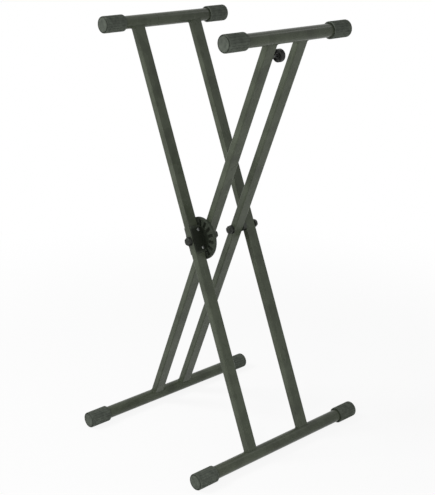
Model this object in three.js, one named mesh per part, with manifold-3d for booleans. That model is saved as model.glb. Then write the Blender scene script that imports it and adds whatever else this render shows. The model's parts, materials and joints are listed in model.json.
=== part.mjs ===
// Folding keyboard stand with two crossing welded frames, in millimetres, +Z up.
// The origin is on the floor, midway between the floor bars and between the legs.
// X is the way the stand spreads and Y runs along the bars; the near side is -Y.
// The outer frame leans to -X at its top and the narrower inner frame to +X; the frames turn
// on two bolts at mid-height. A pull knob under the inner top bar draws the lock pin out of
// the index disc through a cable inside the near inner leg.

import * as THREE from 'three';
import { mergeVertices } from 'three/addons/utils/BufferGeometryUtils.js';
import Module from 'manifold-3d';

// The frames
const pivotToBar = 486.7; // pivot bolt to the axis of each bar, along the leg
const halfAngle = 22.4; // degrees between each frame and the vertical, as the stand is set
const outerLegY = 81.5; // mid-plane of the stand to the middle of an outer leg
const innerLegY = 43.5; // mid-plane of the stand to the middle of an inner leg

// Legs, of rectangular tube
const legThickness = 16; // in the plane in which the frames cross
const legDepth = 27; // along the bars
const legWall = 1.5;
const legCorner = 2.6; // outside corner radius

// Bars, of round tube
const barRadius = 14;
const barWall = 1.5;
const topBarSpan = 348; // over the end caps
const floorBarSpan = 496; // over the end caps

// Ribbed end caps
const capRadius = 18; // to the flat of a rib
const capLength = 53;
const capEndWall = 4;
const capRibs = 20;
const capRibWidth = 3.3;
const capGrooveDepth = 1;
const capEndRounding = 3.5;
const capMouthRounding = 2;

// Pivot bolts, nuts and washers
const boltRadius = 5;
const headAcrossFlats = 16;
const headHeight = 6.4;
const nutHeight = 8.4;
const boltPastNut = 0.6;
const washerRadius = 10;
const washerThickness = 1.6;
const spacerRadius = 10;
const sleeveWall = 1.6;
const thrustWasherRadius = 15;
const thrustWasherThickness = 1.9;

// Index disc and its saddle on the near outer leg
const discRadius = 47.5;
const discThickness = 6;
const discChamfer = 1;
const discHoles = 16;
const discRimToPins = 12; // rim of the disc to the middle of its holes
const pinHoleDepth = 3; // blind, from the disc's back face
const pocketWidth = 7; // a moulded pocket in front of each hole, with ribs between
const pocketLength = 15;
const pocketDepth = 2.5;
const saddleCheek = 3;
const saddleLength = 60;
const saddleDepth = 25; // how far the cheeks reach along the leg's sides
const screwFromPivot = 20;
const screwFromLegFace = 5.5;
const screwRadius = 1.8;
const screwHeadRadius = 4;
const screwHeadHeight = 2.4;
const screwHeadEdge = 1.2; // height of the head's rim
const screwHeadFlat = 2.8; // radius of the flat on top of the head
const screwLength = 7.5; // under the head
const screwSlotWidth = 1.2;
const screwSlotDepth = 1.1;

// Lock pin, its bush and its spring
const pinRadius = 3.1;
const pinTravel = 8;
const pinCollarRadius = 5.2;
const pinCollarLength = 3;
const pinTailRadius = 2.5;
const lugWidth = 4;
const lugAboveCable = 2;
const pinBushRadius = 5.2;
const bushFlangeRadius = 7;
const bushFlangeThickness = 1.2;
const bushPastWall = 1; // how far a bush stands into the hollow of the leg
const springRadius = 4; // to the middle of the wire
const springWireRadius = 0.5;
const springTurns = 6;

// Release knob, stem and cable
const knobFromBar = 43; // bar axis to stem axis, along the leg
const knobStandOff = 17.3; // leg face to the back rim of the knob
const knobRadius = 13.4;
const knobDepth = 13.8;
const knobRimWidth = 2.6;
const knobRimEdge = 1; // chamfer at the back of the rim
const knobRecess = 4.5; // hollow behind the rim
const knobCrownWidth = 6.5; // rounding of the front, across and along the axis
const knobCrownDepth = 5;
const knobBossRadius = 5.6;
const knobBossSetBack = 0.5; // the boss stops this far inside the rim
const knobSocketDepth = 5.5;
const stemRadius = 3;
const stemFlangeRadius = 4.8;
const stemFlangeThickness = 3;
const stemBushRadius = 5;
const stemBushFlangeRadius = 6.5;
const stemBushFlangeThickness = 1.5;
const cableRadius = 0.75;
const cableBend = 5; // bend radius of the cable at a guide pin
const cableAbovePin = 7.5;
const cableToBend = 12.5; // straight cable between the lug and the lower bend
const cableFromStem = 4.5; // straight cable between the stem and the upper bend

// Clearances
const seatGap = 0.3; // between pieces that rest on each other
const runningGap = 0.25; // round a shaft that turns or slides
const holeGap = 0.35; // round a screw
const overcut = 1; // how far a cutter passes the face that it cuts

// Numbers of facets
const barSides = 32;
const discSides = 48;
const roundSides = 20;
const smallSides = 16;
const tinySides = 12;
const wireSides = 6;
const stepsPerCoil = 10;
const legCornerSteps = 3;
const cableBendSteps = 6;
const knobCrownSteps = 3;

// Places that follow from the sizes above
const frameTilt = THREE.MathUtils.degToRad(halfAngle);
const pivotHeight = capRadius + pivotToBar * Math.cos(frameTilt);
const legEnd = pivotToBar - barRadius / 3; // before it is hollowed to sit on its bar
const outerLegOutside = outerLegY + legDepth / 2;
const outerLegInside = outerLegY - legDepth / 2;
const innerLegOutside = innerLegY + legDepth / 2;
const innerLegInside = innerLegY - legDepth / 2;
const discBack = innerLegOutside + seatGap + thrustWasherThickness + seatGap;
const discFront = discBack + discThickness;
const boltEnd = innerLegInside - seatGap - washerThickness - seatGap - nutHeight - boltPastNut;
const stemHeight = pivotToBar - knobFromBar;
const pinCircleRadius = discRadius - discRimToPins;

// Materials, one for each finish
function finish(color, roughness, metalness) {
  return new THREE.MeshStandardMaterial({ color, roughness, metalness, flatShading: true });
}
const powderCoat = () => finish(0x4b5047, 0.5, 0.1);
const capRubber = () => finish(0x42463f, 0.8, 0);
const discNylon = () => finish(0x232523, 0.55, 0);
const blackSteel = () => finish(0x2f312e, 0.45, 0.6);
const brightSteel = () => finish(0xb9bbb8, 0.3, 1);
const knobPlastic = () => finish(0x1b1c1b, 0.4, 0);
const bushBrass = () => finish(0xa88f55, 0.4, 1);
const washerNylon = () => finish(0xd8d6cc, 0.6, 0);

// Solids

const wasm = await Module();
wasm.setup();
const sameCorner = 1e-4; // corners closer than this are one

function toSolid(geometry) {
  const bare = geometry.clone();
  bare.deleteAttribute('normal');
  bare.deleteAttribute('uv');
  const merged = mergeVertices(bare, sameCorner);
  return new wasm.Manifold(new wasm.Mesh({
    numProp: 3,
    vertProperties: merged.attributes.position.array,
    triVerts: new Uint32Array(merged.index.array),
  }));
}

function toGeometry(solid) {
  const { vertProperties, triVerts } = solid.getMesh();
  const geometry = new THREE.BufferGeometry();
  geometry.setAttribute('position', new THREE.BufferAttribute(vertProperties, 3));
  geometry.setIndex(new THREE.BufferAttribute(triVerts, 1));
  return geometry;
}

function cut(body, tools) {
  let solid = toSolid(body);
  for (const tool of tools) {
    solid = solid.subtract(toSolid(tool));
  }
  return toGeometry(solid);
}

function join(bodies) {
  let solid = toSolid(bodies[0]);
  for (const body of bodies.slice(1)) {
    solid = solid.add(toSolid(body));
  }
  return toGeometry(solid);
}

// A solid of revolution about the Y axis, from points [radius, y] in order of rising y outside.
function turned(points, sides) {
  return new THREE.LatheGeometry(points.map(([radius, y]) => new THREE.Vector2(radius, y)), sides);
}

function rod(radius, from, to, sides) {
  const length = Math.abs(to - from);
  return new THREE.CylinderGeometry(radius, radius, length, sides).translate(0, (from + to) / 2, 0);
}

function ring(outerRadius, boreRadius, from, to, sides) {
  const low = Math.min(from, to);
  const high = Math.max(from, to);
  return turned(
    [[boreRadius, low], [outerRadius, low], [outerRadius, high], [boreRadius, high], [boreRadius, low]],
    sides,
  );
}

function block(xSize, ySize, zSize, x, y, z) {
  return new THREE.BoxGeometry(xSize, ySize, zSize).translate(x, y, z);
}

// A box centred on the Y axis, between two places along it.
function slab(xSize, zSize, from, to) {
  return block(xSize, Math.abs(to - from), zSize, 0, (from + to) / 2, 0);
}

function roundedOutline(path, width, depth, corner) {
  const x = width / 2 - corner;
  const y = depth / 2 - corner;
  const quarter = Math.PI / 2;
  path.absarc(x, y, corner, 0, quarter, false);
  path.absarc(-x, y, corner, quarter, 2 * quarter, false);
  path.absarc(-x, -y, corner, 2 * quarter, 3 * quarter, false);
  path.absarc(x, -y, corner, 3 * quarter, 4 * quarter, false);
  path.closePath();
  return path;
}

function addPiece(group, name, geometry, material) {
  const mesh = new THREE.Mesh(geometry, material);
  mesh.name = name;
  group.add(mesh);
  return mesh;
}

// Legs: tubes along Z, in the frame's own axes, with the pivot at the origin.
// Each end is hollowed to sit on its bar.

function legTube(legY) {
  const outline = roundedOutline(new THREE.Shape(), legThickness, legDepth, legCorner);
  const hollow = roundedOutline(
    new THREE.Path(), legThickness - 2 * legWall, legDepth - 2 * legWall, legCorner - legWall,
  );
  outline.holes.push(hollow);
  const tube = new THREE.ExtrudeGeometry(outline, {
    depth: 2 * legEnd, bevelEnabled: false, curveSegments: legCornerSteps,
  });
  return tube.translate(0, legY, -legEnd);
}

function leg(legY, holes) {
  const saddle = (z) => rod(barRadius + seatGap, legY - legDepth, legY + legDepth, barSides)
    .translate(0, 0, z);
  return cut(legTube(legY), [saddle(pivotToBar), saddle(-pivotToBar), ...holes]);
}

function holeAcrossLeg(legY, radius) {
  return rod(radius, legY - legDepth, legY + legDepth, roundSides);
}

function screwHoles(side) {
  const radius = screwRadius + holeGap;
  return [screwFromPivot, -screwFromPivot].map((z) => rod(radius, -legThickness, legThickness, tinySides)
    .rotateZ(Math.PI / 2)
    .translate(0, side * (outerLegInside + screwFromLegFace), z));
}

// Bars and caps, in a group at the bar's axis that stands level

function bar(span) {
  const end = span / 2 - capEndWall - seatGap;
  return ring(barRadius, barRadius - barWall, -end, end, barSides);
}

function onCircle(radius, angle) {
  return new THREE.Vector2(radius * Math.cos(angle), radius * Math.sin(angle));
}

// Ribbed outline: a flat at each rib and a V groove after it.
function capOutline() {
  const pitch = (2 * Math.PI) / capRibs;
  const halfRib = Math.atan(capRibWidth / 2 / capRadius);
  const ribCorner = capRadius / Math.cos(halfRib);
  const points = [];
  for (let rib = 0; rib < capRibs; rib += 1) {
    points.push(onCircle(ribCorner, rib * pitch - halfRib));
    points.push(onCircle(ribCorner, rib * pitch + halfRib));
    points.push(onCircle(capRadius - capGrooveDepth, (rib + 0.5) * pitch));
  }
  return new THREE.Shape(points);
}

// The cap's mouth is at y = 0 and its closed end at y = capLength. The extrusion's four
// levels are moved to where the roundings begin and end, and the end levels drawn in.
function cap() {
  const levels = [
    { y: 0, scale: (capRadius - capMouthRounding / 2) / capRadius },
    { y: capMouthRounding, scale: 1 },
    { y: capLength - capEndRounding, scale: 1 },
    { y: capLength, scale: (capRadius - capEndRounding) / capRadius },
  ];
  const steps = levels.length - 1;
  const body = new THREE.ExtrudeGeometry(capOutline(), { depth: steps, steps, bevelEnabled: false });
  const place = body.attributes.position;
  for (let i = 0; i < place.count; i += 1) {
    const { y, scale } = levels[Math.round(place.getZ(i))];
    place.setXYZ(i, place.getX(i) * scale, place.getY(i) * scale, y);
  }
  body.rotateX(-Math.PI / 2);
  const bore = rod(barRadius + seatGap, -overcut, capLength - capEndWall, barSides);
  return cut(body, [bore]);
}

function addBar(frame, frameName, barName, z, span, tilt) {
  const level = new THREE.Group();
  level.position.z = z;
  level.rotation.y = -tilt;
  frame.add(level);
  addPiece(level, `${frameName}_${barName}_bar`, bar(span), powderCoat());
  for (const [sideName, side] of [['near', -1], ['far', 1]]) {
    const piece = addPiece(level, `cap_${frameName}_${barName}_${sideName}`, cap(), capRubber());
    piece.position.y = side * (span / 2 - capLength);
    piece.rotation.z = side < 0 ? Math.PI : 0;
  }
}

// Pivot hardware, built for the far side (+Y) and turned about Z for the near side.

function hexagon(acrossFlats, from, to) {
  return rod(acrossFlats / 2 / Math.cos(Math.PI / 6), from, to, 6);
}

function addPivotHardware(frame, sideName, side) {
  const holder = new THREE.Group();
  holder.rotation.z = side < 0 ? Math.PI : 0;
  frame.add(holder);
  const headWasher = outerLegOutside + seatGap;
  const head = headWasher + washerThickness + seatGap;
  const nutWasher = innerLegInside - seatGap;
  const nut = nutWasher - washerThickness - seatGap;
  const washerBore = boltRadius + holeGap;
  addPiece(holder, `pivot_bolt_${sideName}`, join([
    rod(boltRadius, boltEnd, head + headHeight / 2, roundSides),
    hexagon(headAcrossFlats, head, head + headHeight),
  ]), blackSteel());
  addPiece(holder, `bolt_washer_${sideName}`,
    ring(washerRadius, washerBore, headWasher, headWasher + washerThickness, roundSides), blackSteel());
  addPiece(holder, `nut_washer_${sideName}`,
    ring(washerRadius, washerBore, nutWasher - washerThickness, nutWasher, roundSides), blackSteel());
  addPiece(holder, `pivot_nut_${sideName}`, cut(
    hexagon(headAcrossFlats, nut - nutHeight, nut),
    [rod(boltRadius + runningGap, nut - 2 * nutHeight, nut + nutHeight, roundSides)],
  ), blackSteel());
}

// Index disc with its saddle, on the near outer leg; the frame's Z runs up the leg.

function indexDisc() {
  const boltBore = boltRadius + holeGap;
  const disc = turned([
    [boltBore, -discFront],
    [discRadius - discChamfer, -discFront],
    [discRadius, -discFront + discChamfer],
    [discRadius, -discBack - discChamfer],
    [discRadius - discChamfer, -discBack],
    [boltBore, -discBack],
    [boltBore, -discFront],
  ], discSides);
  const cuts = [];
  for (let hole = 0; hole < discHoles; hole += 1) {
    const angle = 2 * frameTilt + (hole * 2 * Math.PI) / discHoles;
    const pinHole = rod(pinRadius + holeGap, -discBack - pinHoleDepth, -discBack + overcut, tinySides);
    const pocket = slab(pocketWidth, pocketLength, -discFront - overcut, -discFront + pocketDepth);
    for (const cutter of [pinHole, pocket]) {
      cuts.push(cutter.translate(0, 0, pinCircleRadius).rotateY(angle));
    }
  }
  const legRoom = legThickness + 2 * seatGap;
  const saddleBack = -(outerLegInside + saddleDepth);
  const padFront = -(outerLegInside - seatGap);
  const saddle = cut(
    slab(legRoom + 2 * saddleCheek, saddleLength, saddleBack, -discFront + discChamfer),
    [
      slab(legRoom, 2 * saddleLength, saddleBack - overcut, padFront),
      rod(boltBore, padFront - overcut, -discBack, roundSides),
      ...screwHoles(-1),
    ],
  );
  return join([cut(disc, cuts), saddle]);
}

function screw() {
  const headFrom = legThickness / 2 + seatGap + saddleCheek + seatGap;
  const body = join([
    rod(screwRadius, headFrom - screwLength, headFrom + screwHeadEdge, tinySides),
    turned([
      [0, headFrom],
      [screwHeadRadius, headFrom],
      [screwHeadRadius, headFrom + screwHeadEdge],
      [screwHeadFlat, headFrom + screwHeadHeight],
      [0, headFrom + screwHeadHeight],
    ], smallSides),
  ]);
  const slotY = headFrom + screwHeadHeight;
  return cut(body, [
    block(screwSlotWidth, 2 * screwSlotDepth, 3 * screwHeadRadius, 0, slotY, 0),
  ]);
}

function addIndexScrews(frame) {
  let number = 1;
  for (const side of [1, -1]) {
    for (const end of [1, -1]) {
      const piece = addPiece(frame, `index_screw_${number}`, screw(), brightSteel());
      piece.rotation.z = (-side * Math.PI) / 2;
      piece.position.set(0, -(outerLegInside + screwFromLegFace), end * screwFromPivot);
      number += 1;
    }
  }
}

// Lock pin in the near inner leg. Its nose stops just short of the disc.

const pinBushEnd = innerLegOutside - legWall - bushPastWall;
const collarFront = pinBushEnd - seatGap;
const collarBack = collarFront - pinCollarLength;
const springSeat = innerLegInside + legWall;

function lockPin() {
  const tailEnd = springSeat + pinTravel + seatGap;
  const lugHeight = cableAbovePin + lugAboveCable;
  return join([
    rod(pinRadius, -(discBack - seatGap), -collarBack, smallSides),
    rod(pinCollarRadius, -collarFront, -collarBack, smallSides),
    rod(pinTailRadius, -collarFront, -tailEnd, smallSides),
    block(lugWidth, pinCollarLength, lugHeight, 0, -(collarFront + collarBack) / 2, lugHeight / 2),
  ]).translate(0, 0, pinCircleRadius);
}

function lockPinBush() {
  const bore = pinRadius + runningGap;
  const flangeFrom = -(innerLegOutside + seatGap);
  return turned([
    [bore, flangeFrom - bushFlangeThickness],
    [bushFlangeRadius, flangeFrom - bushFlangeThickness],
    [bushFlangeRadius, flangeFrom],
    [pinBushRadius, flangeFrom],
    [pinBushRadius, -pinBushEnd],
    [bore, -pinBushEnd],
    [bore, flangeFrom - bushFlangeThickness],
  ], smallSides).translate(0, 0, pinCircleRadius);
}

class Helix extends THREE.Curve {
  constructor(radius, from, to, turns) {
    super();
    this.radius = radius;
    this.from = from;
    this.to = to;
    this.turns = turns;
  }

  getPoint(t) {
    const angle = 2 * Math.PI * this.turns * t;
    return new THREE.Vector3(
      this.radius * Math.cos(angle), this.from + (this.to - this.from) * t, this.radius * Math.sin(angle),
    );
  }
}

function tube(path, radius, sides, steps) {
  const section = new THREE.Shape(new THREE.Path().absarc(0, 0, radius, 0, 2 * Math.PI).getPoints(sides / 2));
  return new THREE.ExtrudeGeometry(section, { extrudePath: path, steps, bevelEnabled: false });
}

function lockPinSpring() {
  const from = -(collarBack - seatGap - springWireRadius);
  const to = -(springSeat + seatGap + springWireRadius);
  const path = new Helix(springRadius, from, to, springTurns);
  return tube(path, springWireRadius, wireSides, stepsPerCoil * springTurns).translate(0, 0, pinCircleRadius);
}

// Knob, stem and cable. The stem slides along Y in the inner wall of the near inner leg.

const stemBushEnd = innerLegInside + legWall + bushPastWall;
const stemFlangeFront = stemBushEnd + seatGap + pinTravel;
const stemInnerEnd = stemFlangeFront + stemFlangeThickness;
const knobBack = -(innerLegInside - knobStandOff);
const knobFront = knobBack + knobDepth;
const knobSocketFloor = knobBack + knobSocketDepth;

function knobCrown() {
  const points = [];
  for (let step = 0; step <= knobCrownSteps; step += 1) {
    const angle = (step / knobCrownSteps) * (Math.PI / 2);
    points.push([
      knobRadius - knobCrownWidth * (1 - Math.cos(angle)),
      knobFront - knobCrownDepth * (1 - Math.sin(angle)),
    ]);
  }
  return points;
}

function knob() {
  const recessFloor = knobBack + knobRecess;
  const bossBack = knobBack + knobBossSetBack;
  return turned([
    [0, knobSocketFloor],
    [stemRadius + seatGap, knobSocketFloor],
    [stemRadius + seatGap, bossBack],
    [knobBossRadius, bossBack],
    [knobBossRadius, recessFloor],
    [knobRadius - knobRimWidth, recessFloor],
    [knobRadius - knobRimWidth, knobBack],
    [knobRadius - knobRimEdge, knobBack],
    [knobRadius, knobBack + knobRimEdge],
    ...knobCrown(),
    [0, knobFront],
  ], roundSides).translate(0, 0, stemHeight);
}

function knobStem() {
  return join([
    rod(stemRadius, -stemInnerEnd, knobSocketFloor - seatGap, smallSides),
    rod(stemFlangeRadius, -stemInnerEnd, -stemFlangeFront, smallSides),
  ]).translate(0, 0, stemHeight);
}

function stemBush() {
  const bore = stemRadius + runningGap;
  const flangeFrom = -(innerLegInside - seatGap);
  return turned([
    [bore, -stemBushEnd],
    [stemBushRadius, -stemBushEnd],
    [stemBushRadius, flangeFrom],
    [stemBushFlangeRadius, flangeFrom],
    [stemBushFlangeRadius, flangeFrom + stemBushFlangeThickness],
    [bore, flangeFrom + stemBushFlangeThickness],
    [bore, -stemBushEnd],
  ], smallSides).translate(0, 0, stemHeight);
}

// The cable lies in the plane x = 0: out of the lug, up round the lower guide, along the leg,
// over the upper guide and into the end of the stem.
const cableStart = -(collarBack - seatGap);
const lowerGuideY = cableStart + cableToBend;
const lowerGuideZ = pinCircleRadius + cableAbovePin + cableBend;
const cableEnd = -(stemInnerEnd + seatGap);
const upperGuideY = cableEnd - cableFromStem;
const upperGuideZ = stemHeight - cableBend;

// A curve that an extrusion follows with one step for each of its points.
class StepCurve extends THREE.CatmullRomCurve3 {
  getUtoTmapping(u) {
    return u;
  }
}

function releaseCable() {
  const points = [new THREE.Vector3(0, cableStart, pinCircleRadius + cableAbovePin)];
  for (let step = 0; step <= cableBendSteps; step += 1) {
    const angle = (step / cableBendSteps) * (Math.PI / 2);
    points.push(new THREE.Vector3(
      0, lowerGuideY + cableBend * Math.sin(angle), lowerGuideZ - cableBend * Math.cos(angle),
    ));
  }
  for (let step = 0; step <= cableBendSteps; step += 1) {
    const angle = (step / cableBendSteps) * (Math.PI / 2);
    points.push(new THREE.Vector3(
      0, upperGuideY - cableBend * Math.cos(angle), upperGuideZ + cableBend * Math.sin(angle),
    ));
  }
  points.push(new THREE.Vector3(0, cableEnd, stemHeight));
  return tube(new StepCurve(points, false, 'centripetal'), cableRadius, wireSides, points.length - 1);
}

function cableGuide(y, z) {
  const length = legThickness - 2 * legWall - 2 * seatGap;
  return rod(cableBend - cableRadius - seatGap, -length / 2, length / 2, smallSides)
    .rotateZ(Math.PI / 2)
    .translate(0, y, z);
}

// The two frames

const stand = new THREE.Group();

function addFrame(tilt) {
  const frame = new THREE.Group();
  frame.position.z = pivotHeight;
  frame.rotation.y = tilt;
  stand.add(frame);
  return frame;
}

function addOuterFrame() {
  const frame = addFrame(-frameTilt);
  const boltHole = boltRadius + holeGap;
  addBar(frame, 'outer', 'top', pivotToBar, topBarSpan, -frameTilt);
  addBar(frame, 'outer', 'floor', -pivotToBar, floorBarSpan, -frameTilt);
  addPiece(frame, 'outer_leg_near', leg(-outerLegY, [
    holeAcrossLeg(-outerLegY, boltHole), ...screwHoles(-1),
  ]), powderCoat());
  addPiece(frame, 'outer_leg_far', leg(outerLegY, [holeAcrossLeg(outerLegY, boltHole)]), powderCoat());
  addPivotHardware(frame, 'near', -1);
  addPivotHardware(frame, 'far', 1);
  addPiece(frame, 'pivot_spacer_far',
    ring(spacerRadius, boltHole, innerLegOutside + seatGap, outerLegInside - seatGap, roundSides),
    blackSteel());
  addPiece(frame, 'index_disc', indexDisc(), discNylon());
  addIndexScrews(frame);
  addPiece(frame, 'thrust_washer',
    ring(thrustWasherRadius, boltHole, -(discBack - seatGap), -(innerLegOutside + seatGap), roundSides),
    washerNylon());
}

function addInnerFrame() {
  const frame = addFrame(frameTilt);
  const sleeveBore = boltRadius + runningGap;
  const sleeveRadius = sleeveBore + sleeveWall;
  const sleeveHole = sleeveRadius + holeGap;
  addBar(frame, 'inner', 'top', pivotToBar, topBarSpan, frameTilt);
  addBar(frame, 'inner', 'floor', -pivotToBar, floorBarSpan, frameTilt);
  addPiece(frame, 'inner_leg_near', leg(-innerLegY, [
    holeAcrossLeg(-innerLegY, sleeveHole),
    rod(pinBushRadius + holeGap, -innerLegOutside - overcut, -innerLegY, smallSides)
      .translate(0, 0, pinCircleRadius),
    rod(stemBushRadius + holeGap, -innerLegY, -innerLegInside + overcut, smallSides)
      .translate(0, 0, stemHeight),
  ]), powderCoat());
  addPiece(frame, 'inner_leg_far', leg(innerLegY, [holeAcrossLeg(innerLegY, sleeveHole)]), powderCoat());
  for (const [sideName, side] of [['near', -1], ['far', 1]]) {
    addPiece(frame, `pivot_sleeve_${sideName}`,
      ring(sleeveRadius, sleeveBore, side * innerLegInside, side * innerLegOutside, roundSides),
      brightSteel());
  }
  addPiece(frame, 'lock_pin_bush', lockPinBush(), bushBrass());
  addPiece(frame, 'lock_pin', lockPin(), brightSteel());
  addPiece(frame, 'lock_pin_spring', lockPinSpring(), brightSteel());
  addPiece(frame, 'stem_bush', stemBush(), blackSteel());
  addPiece(frame, 'knob_stem', knobStem(), brightSteel());
  addPiece(frame, 'release_knob', knob(), knobPlastic());
  addPiece(frame, 'cable_guide_lower', cableGuide(lowerGuideY, lowerGuideZ), brightSteel());
  addPiece(frame, 'cable_guide_upper', cableGuide(upperGuideY, upperGuideZ), brightSteel());
  addPiece(frame, 'release_cable', releaseCable(), brightSteel());
}

addOuterFrame();
addInnerFrame();

export default stand;
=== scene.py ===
import json
import math
import bmesh
import bpy
from mathutils import Matrix, Quaternion, Vector


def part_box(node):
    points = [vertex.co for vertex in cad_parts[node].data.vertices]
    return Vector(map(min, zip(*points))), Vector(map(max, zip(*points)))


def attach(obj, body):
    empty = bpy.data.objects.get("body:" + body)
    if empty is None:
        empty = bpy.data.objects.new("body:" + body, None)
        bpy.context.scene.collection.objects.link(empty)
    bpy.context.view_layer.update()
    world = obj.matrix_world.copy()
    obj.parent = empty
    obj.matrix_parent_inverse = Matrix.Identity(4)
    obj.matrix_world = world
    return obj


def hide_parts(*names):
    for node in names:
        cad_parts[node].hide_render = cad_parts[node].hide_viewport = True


# Folding keyboard stand: two crossing welded frames, an index disc on the near pivot and a pull knob.
# Metres, +Z up. X is the way the stand spreads, Y runs along the bars and the near side is -Y.
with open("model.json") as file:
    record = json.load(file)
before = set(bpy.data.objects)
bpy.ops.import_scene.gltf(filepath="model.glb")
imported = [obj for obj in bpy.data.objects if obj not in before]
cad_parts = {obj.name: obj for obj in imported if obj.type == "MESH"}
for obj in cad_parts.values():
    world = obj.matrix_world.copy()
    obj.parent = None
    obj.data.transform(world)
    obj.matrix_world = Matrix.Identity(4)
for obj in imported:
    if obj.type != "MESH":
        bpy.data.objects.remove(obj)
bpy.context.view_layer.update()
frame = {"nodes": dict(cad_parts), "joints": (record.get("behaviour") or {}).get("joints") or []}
mm = 0.001
print("frame loaded:", len(frame["nodes"]), "nodes")

photoCamera = {
    "azimuth": 47.05,  # degrees round from the near side towards +X
    "elevation": 18.82,
    "distance": 2.403,
    "lookAt": (-0.0069, -0.0073, 0.4319),
    "roll": 0.238,
    "lens": 78.47,
    "sensor": 36,  # millimetres on the picture's long side
}


def makeCamera():
    azimuth = math.radians(photoCamera["azimuth"])
    elevation = math.radians(photoCamera["elevation"])
    level = math.cos(elevation)
    back = Vector((math.sin(azimuth) * level, -math.cos(azimuth) * level, math.sin(elevation)))
    data = bpy.data.cameras.new("photo_camera")
    data.lens = photoCamera["lens"]
    data.sensor_width = photoCamera["sensor"]
    camera = bpy.data.objects.new("photo_camera", data)
    bpy.context.scene.collection.objects.link(camera)
    camera.location = Vector(photoCamera["lookAt"]) + back * photoCamera["distance"]
    camera.rotation_mode = "QUATERNION"
    roll = Quaternion((0, 0, 1), math.radians(photoCamera["roll"]))
    camera.rotation_quaternion = (-back).to_track_quat("-Z", "Y") @ roll
    bpy.context.scene.camera = camera


makeCamera()
print("camera placed")

# Places come from the frame. Each welded frame has its own axes: the pivot at the origin, Z up its legs.
foldJoint = next(joint for joint in frame["joints"] if joint["name"] == "fold")
pivot = Vector(foldJoint["pos_m"])


def middle(node):
    low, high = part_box(node)
    return (low + high) / 2


def frameLean(side):
    towardsBar = middle(side + "_top_bar") - pivot
    return math.atan2(towardsBar.x, towardsBar.z)


body = {"outer": "outer_frame", "inner": "inner_frame"}
endNames = ("near", "far")
axes = {side: Matrix.Translation(pivot) @ Matrix.Rotation(frameLean(side), 4, "Y") for side in body}
pivotToBar = (middle("outer_top_bar") - pivot).length
barLow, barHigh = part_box("outer_top_bar")
barRadius = (barHigh.z - barLow.z) / 2


def localBox(node, side):
    # corners of a node in its frame's own axes
    back = axes[side].inverted()
    points = [back @ vert.co for vert in frame["nodes"][node].data.vertices]
    low = Vector(min(point[i] for point in points) for i in range(3))
    high = Vector(max(point[i] for point in points) for i in range(3))
    return low, high


def localMiddle(node, side):
    low, high = localBox(node, side)
    return (low + high) / 2


def linear(hexColour):
    # sRGB hex to the linear colour that the shaders read
    channels = [int(hexColour[i:i + 2], 16) / 255 for i in (1, 3, 5)]
    return [c / 12.92 if c <= 0.04045 else ((c + 0.055) / 1.055) ** 2.4 for c in channels] + [1]


def addNode(tree, kind, settings=None, links=None):
    node = tree.nodes.new(kind)
    for name, value in (settings or {}).items():
        if isinstance(name, str) and hasattr(node, name):
            setattr(node, name, value)
        else:
            node.inputs[name].default_value = value
    for name, socket in (links or {}).items():
        tree.links.new(socket, node.inputs[name])
    return node


def emptyTree(owner):
    # the node tree of a material or a world, with nothing in it yet
    owner.use_nodes = True
    owner.node_tree.nodes.clear()
    return owner.node_tree


def newMaterial(name, settings):
    # a shader with its fixed values on its own sockets, and Object coordinates to draw patterns on
    material = bpy.data.materials.new(name)
    tree = emptyTree(material)
    shader = addNode(tree, "ShaderNodeBsdfPrincipled", settings)
    addNode(tree, "ShaderNodeOutputMaterial", links={"Surface": shader.outputs["BSDF"]})
    place = addNode(tree, "ShaderNodeTexCoord").outputs["Object"]
    return {"material": material, "tree": tree, "shader": shader, "place": place}


def cloud(tree, place, grain, detail):
    # soft lumps of about the given size in metres
    noise = addNode(tree, "ShaderNodeTexNoise", {"Scale": 1 / grain, "Detail": detail}, {"Vector": place})
    return noise.outputs["Fac"]


noiseLow, noiseHigh = 0.3, 0.7  # a noise texture stays mostly between these


def shades(tree, value, colours, low=noiseLow, high=noiseHigh):
    # the colours are spread over the value's range, from dark to light
    blend = addNode(tree, "ShaderNodeValToRGB", links={"Fac": value})
    stops = blend.color_ramp.elements
    stops[0].position, stops[0].color = low, linear(colours[0])
    stops[1].position, stops[1].color = high, linear(colours[-1])
    for number, colour in enumerate(colours[1:-1], 1):
        stop = stops.new(low + (high - low) * number / (len(colours) - 1))
        stop.color = linear(colour)
    return blend.outputs["Color"]


def ramp(tree, value, start, end, first, last):
    # goes from the first result to the last one while the value goes from start to end
    return addNode(tree, "ShaderNodeMapRange", {
        "From Min": start, "From Max": end, "To Min": first, "To Max": last,
    }, {"Value": value}).outputs["Result"]


def spread(tree, noise, low, high):
    return ramp(tree, noise, noiseLow, noiseHigh, low, high)


def maths(tree, operation, *sockets):
    node = addNode(tree, "ShaderNodeMath", {"operation": operation}, dict(enumerate(sockets)))
    return node.outputs["Value"]


def relief(tree, layers):
    # bumps stacked on each other; a layer is a height value and its depth in metres
    links = {}
    for value, depth in layers:
        links["Height"] = value
        bump = addNode(tree, "ShaderNodeBump", {"Distance": depth, "Strength": 1}, links)
        links["Normal"] = bump.outputs["Normal"]
    return links["Normal"]


def finishSurface(made, colour, roughness, layers):
    # joins the patterns of colour, roughness and height to the shader
    tree, inputs = made["tree"], made["shader"].inputs
    tree.links.new(colour, inputs["Base Color"])
    tree.links.new(roughness, inputs["Roughness"])
    tree.links.new(relief(tree, layers), inputs["Normal"])
    return made["material"]


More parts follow.
